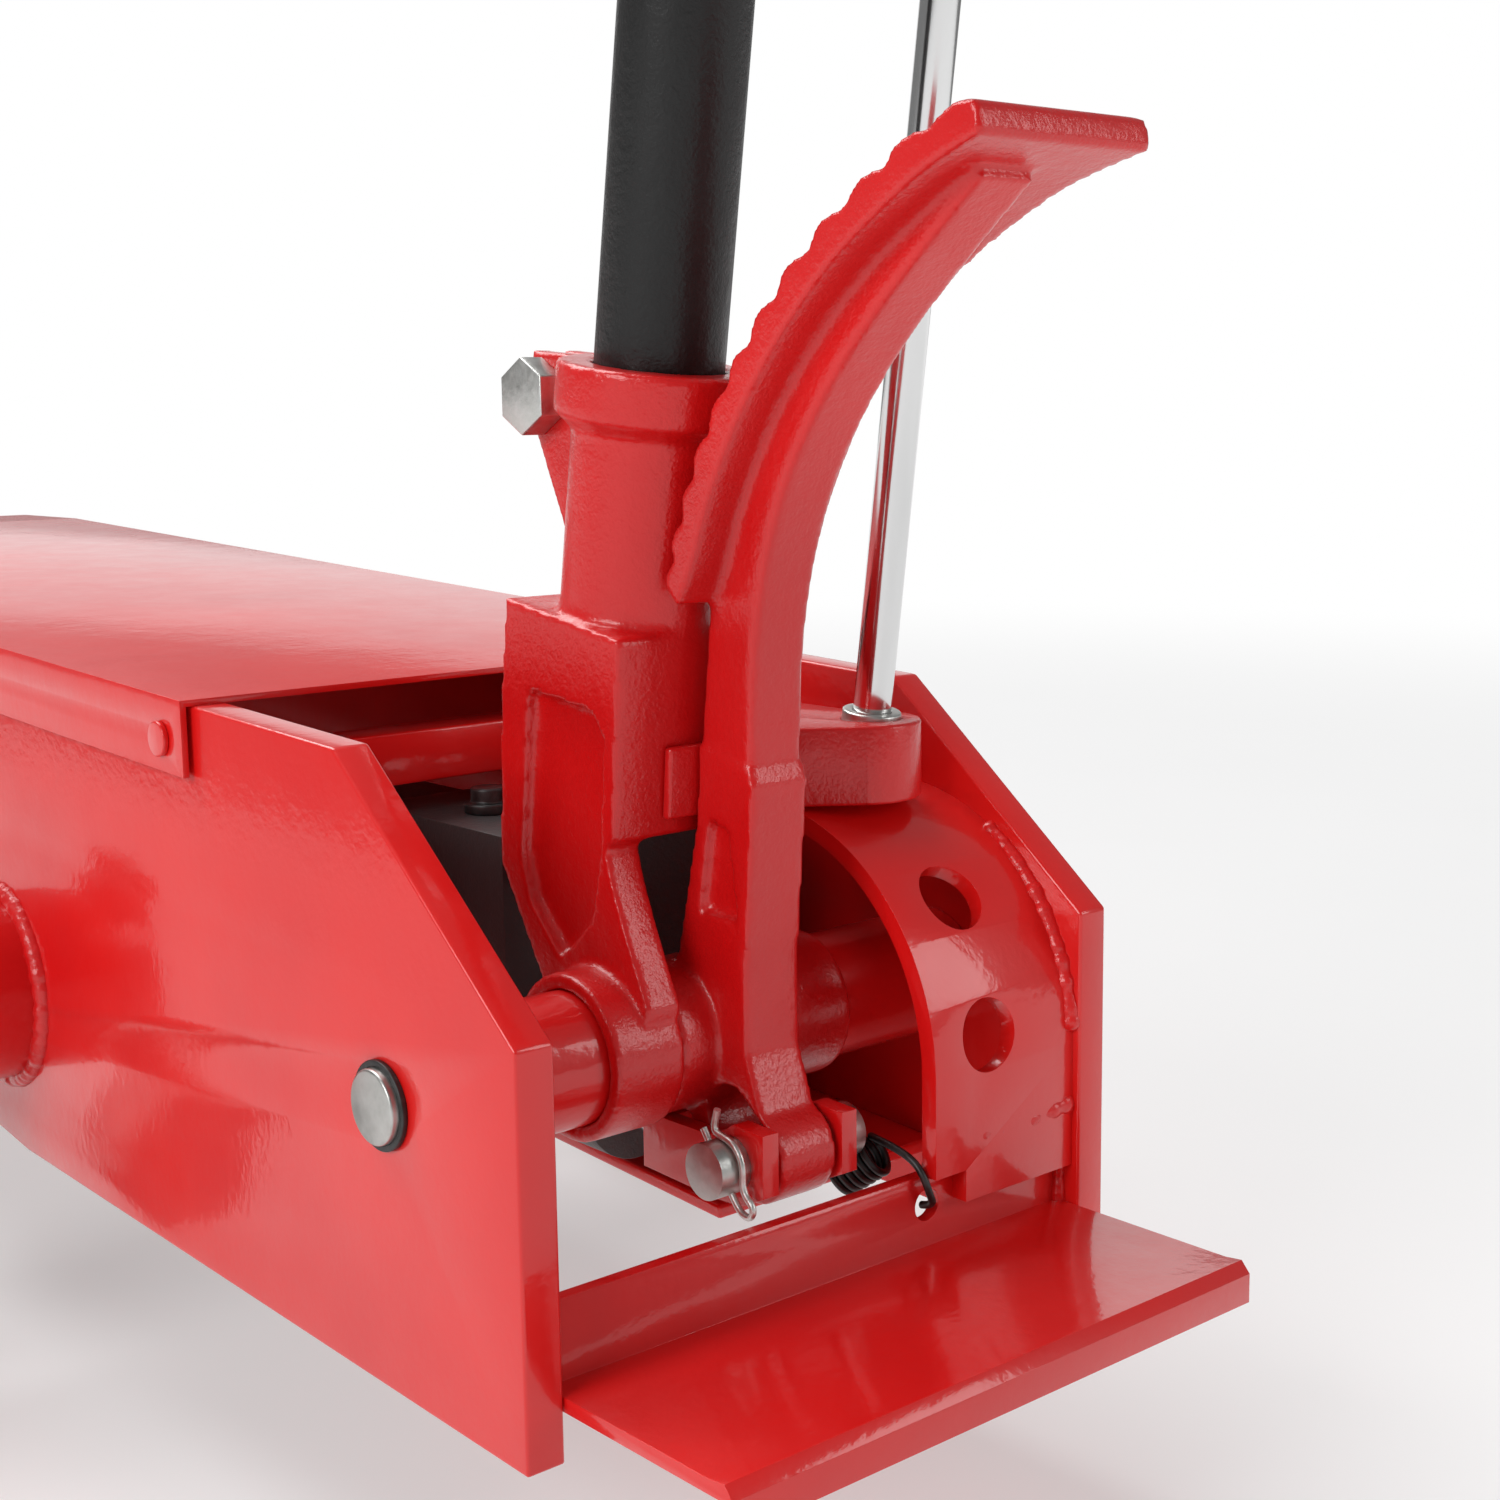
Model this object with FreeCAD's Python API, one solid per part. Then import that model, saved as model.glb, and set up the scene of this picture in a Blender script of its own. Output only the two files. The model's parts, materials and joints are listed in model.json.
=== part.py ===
import FreeCAD, Part
import math
import os

os.makedirs("parts", exist_ok=True)
V = FreeCAD.Vector

# Overall frame, mm. x across the jack, y forward from the plates' rear edge, z up from their rear corner.
ground = 60.0
half_w = 95.0
plate_t = 10.0
inner = half_w - plate_t
plate_h = 151.8
rear_edge_h = 95.2
chamfer_run = 70.0
bottom_rise = 0.0223
top_rise = 0.0449
top_end = 640.0

# Pivot shaft that carries the handle socket and the foot pedal.
shaft_y = 53.5
shaft_z = 71.0
tube_r = 16.85
run_gap = 0.05
pin_r = 9.0

# Handle.
handle_x = -10.0
handle_lean = 8.6
handle_y0 = 89.3
handle_r = 16.0
handle_top = 1085.0

# Pump linkage.
clevis_pin_y = 23.0
clevis_pin_z = 45.7
clevis_pin_r = 7.0
plunger_x = -1.0

# Release rod.
rod_x = 60.0
rod_y0 = 73.1
rod_lean = 8.08
rod_r = 5.2

# Lifting gear.
arm_y = 720.0
arm_z = 128.0
arm_len = 560.0
arm_drop = 6.0
crank_r = 62.0
crank_back = 22.5
link_drop = 40.0
ram_z = 68.4

# Running gear.
front_axle_y = 1300.0
front_wheel_r = 60.0
front_axle_z = front_wheel_r - ground
outrigger_y = 273.0
outrigger_z = 57.0
outrigger_r = 28.5
caster_x = 165.0
caster_trail = 22.0
caster_wheel_r = 38.0

solids = {}


def box(x0, x1, y0, y1, z0, z1):
    return Part.makeBox(x1 - x0, y1 - y0, z1 - z0, V(x0, y0, z0))


def cyl(r, p0, p1):
    a = V(*p0)
    d = V(*p1) - a
    return Part.makeCylinder(r, d.Length, a, d)


def cone(r0, r1, p0, p1):
    a = V(*p0)
    d = V(*p1) - a
    return Part.makeCone(r0, r1, d.Length, a, d)


def prism_x(points, x0, x1):
    wire = Part.makePolygon([V(x0, y, z) for y, z in points + points[:1]])
    return Part.Face(wire).extrude(V(x1 - x0, 0, 0))


def prism_z(points, z0, z1):
    wire = Part.makePolygon([V(x, y, z0) for x, y in points + points[:1]])
    return Part.Face(wire).extrude(V(0, 0, z1 - z0))


def fuse(*shapes):
    return shapes[0].multiFuse(list(shapes[1:])).removeSplitter()


def hex_prism_x(across_flats, x0, x1, y, z):
    r = across_flats / math.sqrt(3.0)
    turns = [math.radians(a) for a in range(0, 360, 60)]
    corners = [(y + r * math.sin(a), z + r * math.cos(a)) for a in turns]
    return prism_x(corners, x0, x1)


def mirror_x(shape):
    return shape.mirror(V(0, 0, 0), V(1, 0, 0))


def polar(y, z, r, degrees):
    a = math.radians(degrees)
    return (y + r * math.cos(a), z + r * math.sin(a))


def smooth_line(points, steps):
    ends = [points[0]] + points + [points[-1]]
    line = []
    for p0, p1, p2, p3 in zip(ends, ends[1:], ends[2:], ends[3:]):
        for k in range(steps):
            t = k / steps
            point = []
            for a, b, c, d in zip(p0, p1, p2, p3):
                bend = (2 * a - 5 * b + 4 * c - d) * t ** 2
                twist = (3 * b - a - 3 * c + d) * t ** 3
                point.append(0.5 * (2 * b + (c - a) * t + bend + twist))
            line.append(tuple(point))
    return line + [points[-1]]


def scalloped(line, count, depth):
    raised = []
    for i, (y, z) in enumerate(line):
        y_a, z_a = line[max(i - 1, 0)]
        y_b, z_b = line[min(i + 1, len(line) - 1)]
        run = math.hypot(y_b - y_a, z_b - z_a)
        rise = depth * abs(math.sin(math.pi * count * i / (len(line) - 1)))
        raised.append((y - rise * (z_b - z_a) / run, z + rise * (y_b - y_a) / run))
    return raised


def along_handle(y_local, z_local):
    a = math.radians(handle_lean)
    return (
        handle_y0 + y_local * math.cos(a) - z_local * math.sin(a),
        y_local * math.sin(a) + z_local * math.cos(a),
    )


def handle_cyl(r, z0, z1):
    y_a, z_a = along_handle(0.0, z0)
    y_b, z_b = along_handle(0.0, z1)
    return cyl(r, (handle_x, y_a, z_a), (handle_x, y_b, z_b))


def rod_point(z):
    return (rod_x, rod_y0 - z * math.tan(math.radians(rod_lean)), z)


def plate_top(y):
    return plate_h + top_rise * (min(y, top_end) - chamfer_run)


# Side plates: upright rear edge, chamfer, a long top edge that falls to the front axle.
plate_outline = [
    (0.0, 0.0),
    (0.0, rear_edge_h),
    (chamfer_run, plate_h),
    (top_end, plate_top(top_end)),
    (780.0, plate_top(top_end)),
    (1180.0, 62.0),
    (1290.0, 40.0),
    (1326.0, 18.0),
    (1334.0, -6.0),
    (1318.0, -24.0),
    (1190.0, -24.0),
    (1040.0, 26.0),
    (430.0, 26.0),
    (262.0, 262.0 * bottom_rise),
]
blank = prism_x(plate_outline, -half_w, -inner)
blank = blank.cut(cyl(pin_r, (-half_w - 1, shaft_y, shaft_z), (-inner + 1, shaft_y, shaft_z)))
axle_hole = cyl(14.0, (-half_w - 1, front_axle_y, front_axle_z), (-inner + 1, front_axle_y, front_axle_z))
blank = blank.cut(axle_hole)
blank = blank.cut(cyl(16.0, (-half_w - 1, arm_y, arm_z), (-inner + 1, arm_y, arm_z)))
solids["side_plate_left"] = blank
solids["side_plate_right"] = mirror_x(blank)

# Sheet cover over the power unit, with folded side flanges standing just off the plates.
cover_y0 = 138.6
cover_y1 = 700.0
sheet = 1.7
cover_x = half_w + 3.2
flange_drop = 18.0
top_line = [(cover_y0, plate_top(cover_y0)), (top_end, plate_top(top_end)), (cover_y1, plate_top(top_end))]
lid_profile = top_line + [(y, z + sheet) for y, z in reversed(top_line)]
lid = prism_x(lid_profile, -cover_x, cover_x)
flange_profile = [(y, z - flange_drop) for y, z in top_line] + [(y, z + sheet) for y, z in reversed(top_line)]
flange_left = prism_x(flange_profile, -cover_x, -cover_x + sheet)
cover = fuse(lid, flange_left, mirror_x(flange_left))
screws = []
for screw_y in (150.0, 680.0):
    screw_z = plate_top(screw_y) - 9.5
    hole = cyl(3.0, (-cover_x - 1, screw_y, screw_z), (cover_x + 1, screw_y, screw_z))
    cover = cover.cut(hole)
    for side in (-1, 1):
        shank = cyl(2.9, (side * half_w, screw_y, screw_z), (side * cover_x, screw_y, screw_z))
        head = cyl(4.6, (side * cover_x, screw_y, screw_z), (side * (cover_x + 1.6), screw_y, screw_z))
        screws.append(fuse(shank, head))
solids["top_cover"] = cover
solids["cover_screws"] = Part.makeCompound(screws)

# Cross bar under the cover's rear edge.
solids["rear_cross_bar"] = box(-inner, inner, 142.0, 157.0, 126.5, 141.0)

# Tail plate: upright flange, flat step and a down-turned rear lip, between the side plates.
tail_half = 84.6
flange_y = 7.1
tail_z = 15.3
tail_t = 3.5
lip_y = -56.0
tail_profile = [
    (flange_y, 34.4),
    (flange_y + tail_t, 34.4),
    (flange_y + tail_t, tail_z - tail_t),
    (lip_y + tail_t, tail_z - tail_t),
    (lip_y + tail_t, 5.5),
    (lip_y, 5.5),
    (lip_y, 13.0),
    (lip_y + 2.5, tail_z + 0.6),
    (lip_y + 7.5, tail_z),
    (flange_y, tail_z),
]
tail = prism_x(tail_profile, -tail_half, tail_half)
tail = tail.cut(cyl(4.2, (34.7, 0.0, 26.3), (34.7, 20.0, 26.3)))
solids["tail_plate"] = tail

# Rolled guard over the right half of the pivot shaft, down onto the rear face of the tail plate's flange.
guard_x0 = 33.0
guard_y = 65.8
guard_z = 60.0
guard_r = 63.6
guard_t = 4.9
skirt_z = 26.0
arch = cyl(guard_r, (guard_x0, guard_y, guard_z), (inner, guard_y, guard_z))
arch = arch.cut(cyl(guard_r - guard_t, (guard_x0 - 1, guard_y, guard_z), (inner + 1, guard_y, guard_z)))
arch = arch.common(box(guard_x0, inner, guard_y - 80.0, guard_y - 5.0, guard_z, guard_z + 80.0))
skirt_y = guard_y - guard_r
skirt = box(guard_x0, inner, skirt_y, skirt_y + guard_t, 34.4, guard_z)
skirt = fuse(skirt, box(44.0, inner, skirt_y, skirt_y + guard_t, skirt_z, 35.0))
guard = fuse(arch, skirt)
for hole_x, angle in ((54.6, 139.0), (52.9, 172.6)):
    y_h, z_h = polar(guard_y, guard_z, guard_r + 8.0, angle)
    y_i, z_i = polar(guard_y, guard_z, guard_r - 12.0, angle)
    guard = guard.cut(cyl(9.6, (hole_x, y_h, z_h), (hole_x, y_i, z_i)))
solids["arc_guard"] = guard

# Pivot shaft: cross tube between the plates, through pin, and a retaining ring on each end.
cross_tube = cyl(tube_r, (-inner, shaft_y, shaft_z), (inner, shaft_y, shaft_z))
cross_tube = cross_tube.cut(cyl(pin_r, (-inner - 1, shaft_y, shaft_z), (inner + 1, shaft_y, shaft_z)))
solids["pivot_cross_tube"] = cross_tube
pin_end = half_w + 3.4
solids["pivot_pin"] = cyl(pin_r, (-pin_end, shaft_y, shaft_z), (pin_end, shaft_y, shaft_z))
rings = []
for side in (-1, 1):
    ring_a = cyl(10.7, (side * half_w, shaft_y, shaft_z), (side * (half_w + 1.5), shaft_y, shaft_z))
    rings.append(ring_a.cut(solids["pivot_pin"]))
solids["pin_rings"] = Part.makeCompound(rings)

# Hydraulic unit: base plate welded to the right plate, pump block, reservoir with the lift cylinder.
base_y0 = 54.0
base_y1 = 165.0


def base_z(y):
    return 14.1 + 0.049 * y


solids["power_unit_base"] = prism_x(
    [
        (base_y0, base_z(base_y0)), (base_y1, base_z(base_y1)),
        (base_y1, base_z(base_y1) + 4.0), (base_y0, base_z(base_y0) + 4.0),
    ],
    5.0,
    inner,
)
plunger_r = 8.0
block_y0 = 98.0
block_top = 118.0
block = prism_x(
    [
        (block_y0, base_z(block_y0) + 4.0), (base_y1, base_z(base_y1) + 4.0),
        (base_y1, block_top), (block_y0, block_top),
    ],
    5.0,
    70.0,
)
block = fuse(block, box(-30.0, 6.0, block_y0, base_y1, 42.0, block_top))
block = fuse(block, cyl(17.0, (plunger_x, 80.0, clevis_pin_z), (plunger_x, 99.0, clevis_pin_z)))
block = block.cut(cyl(plunger_r + run_gap, (plunger_x, 79.0, clevis_pin_z), (plunger_x, 150.0, clevis_pin_z)))
solids["pump_block"] = block
res_r = 48.0
ram_r = 18.0
res_y0 = 165.0
res_y1 = 405.0
body = cyl(res_r, (0, res_y0, ram_z), (0, res_y1 - 16.0, ram_z))
nose = cone(res_r, 34.0, (0, res_y1 - 16.0, ram_z), (0, res_y1, ram_z))
solids["reservoir"] = fuse(body, nose)
lift_cyl = fuse(
    cyl(30.0, (0, res_y1, ram_z), (0, 618.0, ram_z)),
    cyl(34.0, (0, 598.0, ram_z), (0, 618.0, ram_z)),
)
solids["lift_cylinder"] = lift_cyl.cut(cyl(ram_r + run_gap, (0, 430.0, ram_z), (0, 630.0, ram_z)))
plug = cyl(7.0, (-12.0, 130.0, 118.0), (-12.0, 130.0, 121.0))
solids["filler_plug"] = fuse(plug, cyl(5.0, (-12.0, 130.0, 121.0), (-12.0, 130.0, 125.0)))

# Release valve arm: a rounded boss behind the shaft's right end, cast onto an arm from the pump block.
boss_z0 = 123.5
boss_z1 = 144.5
boss = cyl(16.5, (57.0, 54.0, boss_z0), (57.0, 54.0, boss_z1))
arm_plan = [(47.1, 40.8), (20.0, 61.2), (20.0, 141.5), (66.9, 141.5), (66.9, 67.2)]
valve_arm = fuse(boss, prism_z(arm_plan, boss_z0, boss_z1), box(20.0, 66.9, 110.0, 141.5, 118.0, boss_z0))
rod_foot = rod_point(131.0)
rod_mouth = rod_point(150.0)
valve_arm = valve_arm.cut(cyl(rod_r + run_gap, rod_foot, rod_mouth))
gland_a = rod_point(139.0)
gland_b = rod_point(146.6)
valve_arm = valve_arm.cut(cyl(8.0, gland_a, rod_mouth))
solids["release_valve_arm"] = valve_arm
solids["valve_gland"] = cyl(8.0, gland_a, gland_b).cut(cyl(rod_r + run_gap, rod_foot, rod_mouth))
rod_top = rod_point(690.0)
solids["release_rod"] = cyl(rod_r, rod_foot, rod_top)
grip_bar = cyl(9.0, (rod_top[0] - 34.0, rod_top[1], 690.0), (rod_top[0] + 34.0, rod_top[1], 690.0))
neck = cyl(9.0, rod_point(668.0), rod_top)
solids["release_knob"] = fuse(grip_bar, neck).cut(solids["release_rod"])

# Outriggers for the rear casters.
hub_r = 19.0
out_tube = cyl(outrigger_r, (-half_w, outrigger_y, outrigger_z), (-caster_x, outrigger_y, outrigger_z))
out_tube = out_tube.cut(cyl(outrigger_r - 4.0, (-half_w + 1, outrigger_y, outrigger_z),
                            (-caster_x - 1, outrigger_y, outrigger_z)))
out_tube = out_tube.cut(cyl(hub_r, (-caster_x, outrigger_y, 0.0), (-caster_x, outrigger_y, 120.0)))
sleeve = cyl(hub_r, (-caster_x, outrigger_y, 26.0), (-caster_x, outrigger_y, 90.0))
sleeve = sleeve.cut(cyl(9.0 + run_gap, (-caster_x, outrigger_y, 20.0), (-caster_x, outrigger_y, 95.0)))
near_part = out_tube.common(box(-caster_x, -half_w, 200.0, 340.0, 0.0, 120.0))
solids["outrigger_tube_left"] = near_part
solids["outrigger_tube_right"] = mirror_x(near_part)
solids["caster_sleeve_left"] = sleeve
solids["caster_sleeve_right"] = mirror_x(sleeve)

# Casters: fork with king pin, wheel and axle bolt.
wheel_y = outrigger_y + caster_trail
wheel_z = caster_wheel_r - ground
crown = cyl(24.0, (-caster_x, outrigger_y, 19.0), (-caster_x, outrigger_y, 25.0))
deck = box(-caster_x - 22.0, -caster_x + 22.0, outrigger_y - 12.0, wheel_y + 8.0, 19.0, 25.0)
cheek_outline = [
    (outrigger_y - 12.0, 25.0),
    (wheel_y + 8.0, 25.0),
    (wheel_y + 11.0, wheel_z),
    (wheel_y, wheel_z - 11.0),
    (wheel_y - 11.0, wheel_z),
]
cheek_out = prism_x(cheek_outline, -caster_x - 22.0, -caster_x - 18.0)
cheek_in = prism_x(cheek_outline, -caster_x + 18.0, -caster_x + 22.0)
king = cyl(9.0, (-caster_x, outrigger_y, 22.0), (-caster_x, outrigger_y, 92.0))
king_nut = cyl(14.0, (-caster_x, outrigger_y, 91.0), (-caster_x, outrigger_y, 97.0))
fork = fuse(crown, deck, cheek_out, cheek_in, king, king_nut)
fork = fork.cut(cyl(5.0, (-caster_x - 30.0, wheel_y, wheel_z), (-caster_x + 30.0, wheel_y, wheel_z)))
wheel = cyl(caster_wheel_r, (-caster_x - 15.0, wheel_y, wheel_z), (-caster_x + 15.0, wheel_y, wheel_z))
wheel = wheel.cut(cyl(25.0, (-caster_x - 16.0, wheel_y, wheel_z), (-caster_x - 10.0, wheel_y, wheel_z)))
wheel = wheel.cut(cyl(25.0, (-caster_x + 10.0, wheel_y, wheel_z), (-caster_x + 16.0, wheel_y, wheel_z)))
wheel = fuse(wheel, cyl(10.0, (-caster_x - 16.5, wheel_y, wheel_z), (-caster_x + 16.5, wheel_y, wheel_z)))
wheel_bore = cyl(5.0 + run_gap, (-caster_x - 20.0, wheel_y, wheel_z), (-caster_x + 20.0, wheel_y, wheel_z))
wheel = wheel.cut(wheel_bore)
bolt = cyl(5.0, (-caster_x - 22.0, wheel_y, wheel_z), (-caster_x + 22.0, wheel_y, wheel_z))
bolt = fuse(bolt, hex_prism_x(15.0, -caster_x + 22.0, -caster_x + 27.0, wheel_y, wheel_z),
            hex_prism_x(15.0, -caster_x - 27.0, -caster_x - 22.0, wheel_y, wheel_z))
for name, shape in (("caster_fork", fork), ("caster_wheel", wheel), ("caster_axle", bolt)):
    solids[name + "_left"] = shape
    solids[name + "_right"] = mirror_x(shape)

# Front axle, wheels and collars.
axle_end = 150.0
solids["front_axle"] = cyl(
    14.0, (-axle_end, front_axle_y, front_axle_z), (axle_end, front_axle_y, front_axle_z)
)
tread = cyl(front_wheel_r, (-140.0, front_axle_y, front_axle_z), (-100.0, front_axle_y, front_axle_z))
tread = tread.cut(cyl(44.0, (-141.0, front_axle_y, front_axle_z), (-132.0, front_axle_y, front_axle_z)))
tread = fuse(tread, cyl(24.0, (-140.0, front_axle_y, front_axle_z), (-97.0, front_axle_y, front_axle_z)))
roller_bore = cyl(14.0 + run_gap, (-145.0, front_axle_y, front_axle_z), (-90.0, front_axle_y, front_axle_z))
tread = tread.cut(roller_bore)
solids["front_wheel_left"] = tread
solids["front_wheel_right"] = mirror_x(tread)
collars = []
for side in (-1, 1):
    collar = cyl(20.0, (side * 141.0, front_axle_y, front_axle_z), (side * 147.0, front_axle_y, front_axle_z))
    collars.append(collar.cut(solids["front_axle"]))
solids["axle_collars"] = Part.makeCompound(collars)
ties = [cyl(8.0, (-inner, y, 36.0), (inner, y, 36.0)) for y in (640.0, 980.0)]
solids["front_ties"] = Part.makeCompound(ties)

# Lifting arm: two plates on a cross shaft, with crank lobes below the shaft.
drop = math.radians(arm_drop)
saddle_y = arm_y + arm_len * math.cos(drop)
saddle_z = arm_z - arm_len * math.sin(drop)
crank_y, crank_z = polar(arm_y, arm_z, crank_r, 270.0 - crank_back)
arm_x0 = 44.0
arm_x1 = 54.0
solids["lift_pivot_shaft"] = cyl(16.0, (-half_w - 5.0, arm_y, arm_z), (half_w + 5.0, arm_y, arm_z))


def arm_point(s, n):
    return (
        arm_y + s * math.cos(drop) + n * math.sin(drop),
        arm_z - s * math.sin(drop) + n * math.cos(drop),
    )


beam_outline = [
    arm_point(-6.0, 33.0),
    arm_point(220.0, 34.0),
    arm_point(arm_len, 20.0),
    arm_point(arm_len, -20.0),
    arm_point(240.0, -30.0),
    arm_point(110.0, -36.0),
    (crank_y + 16.0, crank_z - 16.0),
    (crank_y - 19.0, crank_z - 10.0),
    arm_point(-33.0, 0.0),
]
arm = fuse(
    prism_x(beam_outline, arm_x0, arm_x1),
    cyl(34.0, (arm_x0, arm_y, arm_z), (arm_x1, arm_y, arm_z)),
    cyl(22.0, (arm_x0, crank_y, crank_z), (arm_x1, crank_y, crank_z)),
    cyl(20.0, (arm_x0, saddle_y, saddle_z), (arm_x1, saddle_y, saddle_z)),
)
arm = arm.cut(cyl(16.0 + run_gap, (arm_x0 - 1, arm_y, arm_z), (arm_x1 + 1, arm_y, arm_z)))
arm = arm.cut(cyl(11.0, (arm_x0 - 1, crank_y, crank_z), (arm_x1 + 1, crank_y, crank_z)))
arm = arm.cut(cyl(11.0, (arm_x0 - 1, saddle_y, saddle_z), (arm_x1 + 1, saddle_y, saddle_z)))
solids["lift_arm_right"] = arm
solids["lift_arm_left"] = mirror_x(arm)
solids["crank_pin"] = cyl(11.0, (-arm_x1 - 2.0, crank_y, crank_z), (arm_x1 + 2.0, crank_y, crank_z))
solids["yoke_pin"] = cyl(11.0, (-arm_x1 - 4.0, saddle_y, saddle_z), (arm_x1 + 4.0, saddle_y, saddle_z))
tie_a = arm_point(270.0, 2.0)
solids["arm_tie_tube"] = cyl(19.0, (-arm_x0, tie_a[0], tie_a[1]), (arm_x0, tie_a[0], tie_a[1]))

# Ram rod and slotted crosshead that drives the crank pin.
head_y0 = 640.0
solids["ram_rod"] = cyl(ram_r, (0, 450.0, ram_z), (0, head_y0, ram_z))
slot_r = 11.5
slot_cut = fuse(
    box(-40.0, 40.0, crank_y - slot_r, crank_y + slot_r, 66.0, crank_z),
    cyl(slot_r, (-40.0, crank_y, 66.0), (40.0, crank_y, 66.0)),
    cyl(slot_r, (-40.0, crank_y, crank_z), (40.0, crank_y, crank_z)),
)
head = fuse(
    box(-36.0, 36.0, head_y0, head_y0 + 30.0, 46.0, 91.0),
    box(-36.0, -20.0, head_y0 + 29.0, arm_y, 48.0, 89.0),
    box(20.0, 36.0, head_y0 + 29.0, arm_y, 48.0, 89.0),
)
solids["ram_crosshead"] = head.cut(slot_cut)

# Radius rods that keep the saddle yoke level.
link_a = (arm_y, arm_z - link_drop)
link_b = (saddle_y, saddle_z - link_drop)
nx = math.sin(drop)
nz = math.cos(drop)
rod_outline = [
    (link_a[0] + 9.0 * nx, link_a[1] + 9.0 * nz),
    (link_b[0] + 9.0 * nx, link_b[1] + 9.0 * nz),
    (link_b[0] - 9.0 * nx, link_b[1] - 9.0 * nz),
    (link_a[0] - 9.0 * nx, link_a[1] - 9.0 * nz),
]
rod = fuse(
    prism_x(rod_outline, 64.0, 71.0),
    cyl(14.0, (64.0, link_a[0], link_a[1]), (71.0, link_a[0], link_a[1])),
    cyl(12.5, (64.0, link_b[0], link_b[1]), (71.0, link_b[0], link_b[1])),
)
rod = rod.cut(cyl(8.0 + run_gap, (60.0, link_a[0], link_a[1]), (75.0, link_a[0], link_a[1])))
rod = rod.cut(cyl(7.0, (60.0, link_b[0], link_b[1]), (75.0, link_b[0], link_b[1])))
solids["radius_rod_right"] = rod
solids["radius_rod_left"] = mirror_x(rod)
stubs = [cyl(8.0, (s * 61.0, link_a[0], link_a[1]), (s * inner, link_a[0], link_a[1])) for s in (-1, 1)]
solids["rod_stub_pins"] = Part.makeCompound(stubs)
solids["rod_pin"] = cyl(7.0, (-74.0, link_b[0], link_b[1]), (74.0, link_b[0], link_b[1]))

# Saddle yoke and cup.
yoke_top = saddle_z + 38.0
yoke = fuse(
    box(-40.0, 40.0, saddle_y - 22.0, saddle_y + 22.0, link_b[1] - 12.0, saddle_z + 14.0),
    box(-30.0, 30.0, saddle_y - 22.0, saddle_y + 22.0, saddle_z + 10.0, yoke_top),
)
yoke = yoke.cut(cyl(11.0 + run_gap, (-60.0, saddle_y, saddle_z), (60.0, saddle_y, saddle_z)))
yoke = yoke.cut(cyl(7.0 + run_gap, (-60.0, link_b[0], link_b[1]), (60.0, link_b[0], link_b[1])))
yoke = yoke.cut(cyl(12.0 + run_gap, (0, saddle_y, saddle_z + 14.0), (0, saddle_y, yoke_top + 1.0)))
solids["saddle_yoke"] = yoke
cup_z = yoke_top + 0.5
cup = fuse(
    cyl(12.0, (0, saddle_y, saddle_z + 15.0), (0, saddle_y, cup_z + 1.0)),
    cyl(52.0, (0, saddle_y, cup_z), (0, saddle_y, cup_z + 8.0)),
)
rim = cyl(52.0, (0, saddle_y, cup_z + 8.0), (0, saddle_y, cup_z + 16.0))
rim = rim.cut(cyl(44.0, (0, saddle_y, cup_z + 7.0), (0, saddle_y, cup_z + 17.0)))
gaps = fuse(box(-60.0, 60.0, saddle_y - 9.0, saddle_y + 9.0, cup_z + 8.0, cup_z + 20.0),
            box(-9.0, 9.0, saddle_y - 60.0, saddle_y + 60.0, cup_z + 8.0, cup_z + 20.0))
solids["saddle_cup"] = fuse(cup, rim.cut(gaps))

# Handle socket: offset block on a leg from the left hub, round barrel, collar and split clamp ears.
hub_x0 = -43.5
hub_x1 = -22.4
wall_x0 = -33.0
block_x1 = 12.0
hub = cyl(21.0, (hub_x0, shaft_y, shaft_z), (hub_x1, shaft_y, shaft_z))
body_block = prism_x([(88.6, 181.0), (42.4, 173.6), (46.6, 123.5), (93.4, 123.5)], wall_x0, block_x1)
side_wall = prism_x(
    [
        (88.6, 181.0), (42.4, 173.6), (44.4, 148.0), (49.0, 121.0), (47.0, 114.0), (42.3, 102.5), (33.9, 84.6),
        (36.0, 72.0), (70.0, 70.0), (76.1, 81.8), (94.5, 112.8), (92.2, 154.7),
    ],
    wall_x0,
    hub_x1,
)
collar_top = 240.5
barrel = handle_cyl(20.4, 150.0, collar_top)
collar = fuse(
    handle_cyl(25.0, 228.0, collar_top),
    cone(20.4, 25.0, (handle_x,) + along_handle(0.0, 224.5), (handle_x,) + along_handle(0.0, 228.0)),
)
bolt_y = 90.6
bolt_z = 231.0
ear_outline = [along_handle(15.0, collar_top), along_handle(42.0, 239.0), along_handle(43.5, 226.0),
               along_handle(21.0, 192.0), along_handle(15.0, 186.0)]
ears = prism_x(ear_outline, handle_x - 8.0, handle_x + 8.0)
socket = fuse(hub, body_block, side_wall, barrel, collar, ears)
socket = socket.cut(cyl(tube_r + run_gap, (hub_x0 - 1, shaft_y, shaft_z), (hub_x1 + 1, shaft_y, shaft_z)))
socket = socket.cut(handle_cyl(handle_r, 160.0, 250.0))
split = prism_x([along_handle(10.0, 246.0), along_handle(50.0, 246.0), along_handle(50.0, 200.0),
                 along_handle(10.0, 200.0)], handle_x - 2.0, handle_x + 2.0)
socket = socket.cut(split)
socket = socket.cut(cyl(5.0, (handle_x - 20.0, bolt_y, bolt_z), (handle_x + 20.0, bolt_y, bolt_z)))
pocket = prism_x([(80.1, 158.4), (54.5, 155.5), (49.5, 149.5), (52.0, 120.0), (56.0, 103.0), (69.3, 91.5), (81.5, 104.0),
                  (85.0, 116.0)], wall_x0 - 1.0, wall_x0 + 4.0)
solids["handle_socket"] = socket.cut(pocket)
solids["contact_pad"] = prism_x([(42.0, 146.0), (44.7, 146.0), (46.2, 128.0), (43.4, 128.0)], -18.0, 11.0)
tube = handle_cyl(handle_r, 160.0, handle_top - 3.0)
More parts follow.
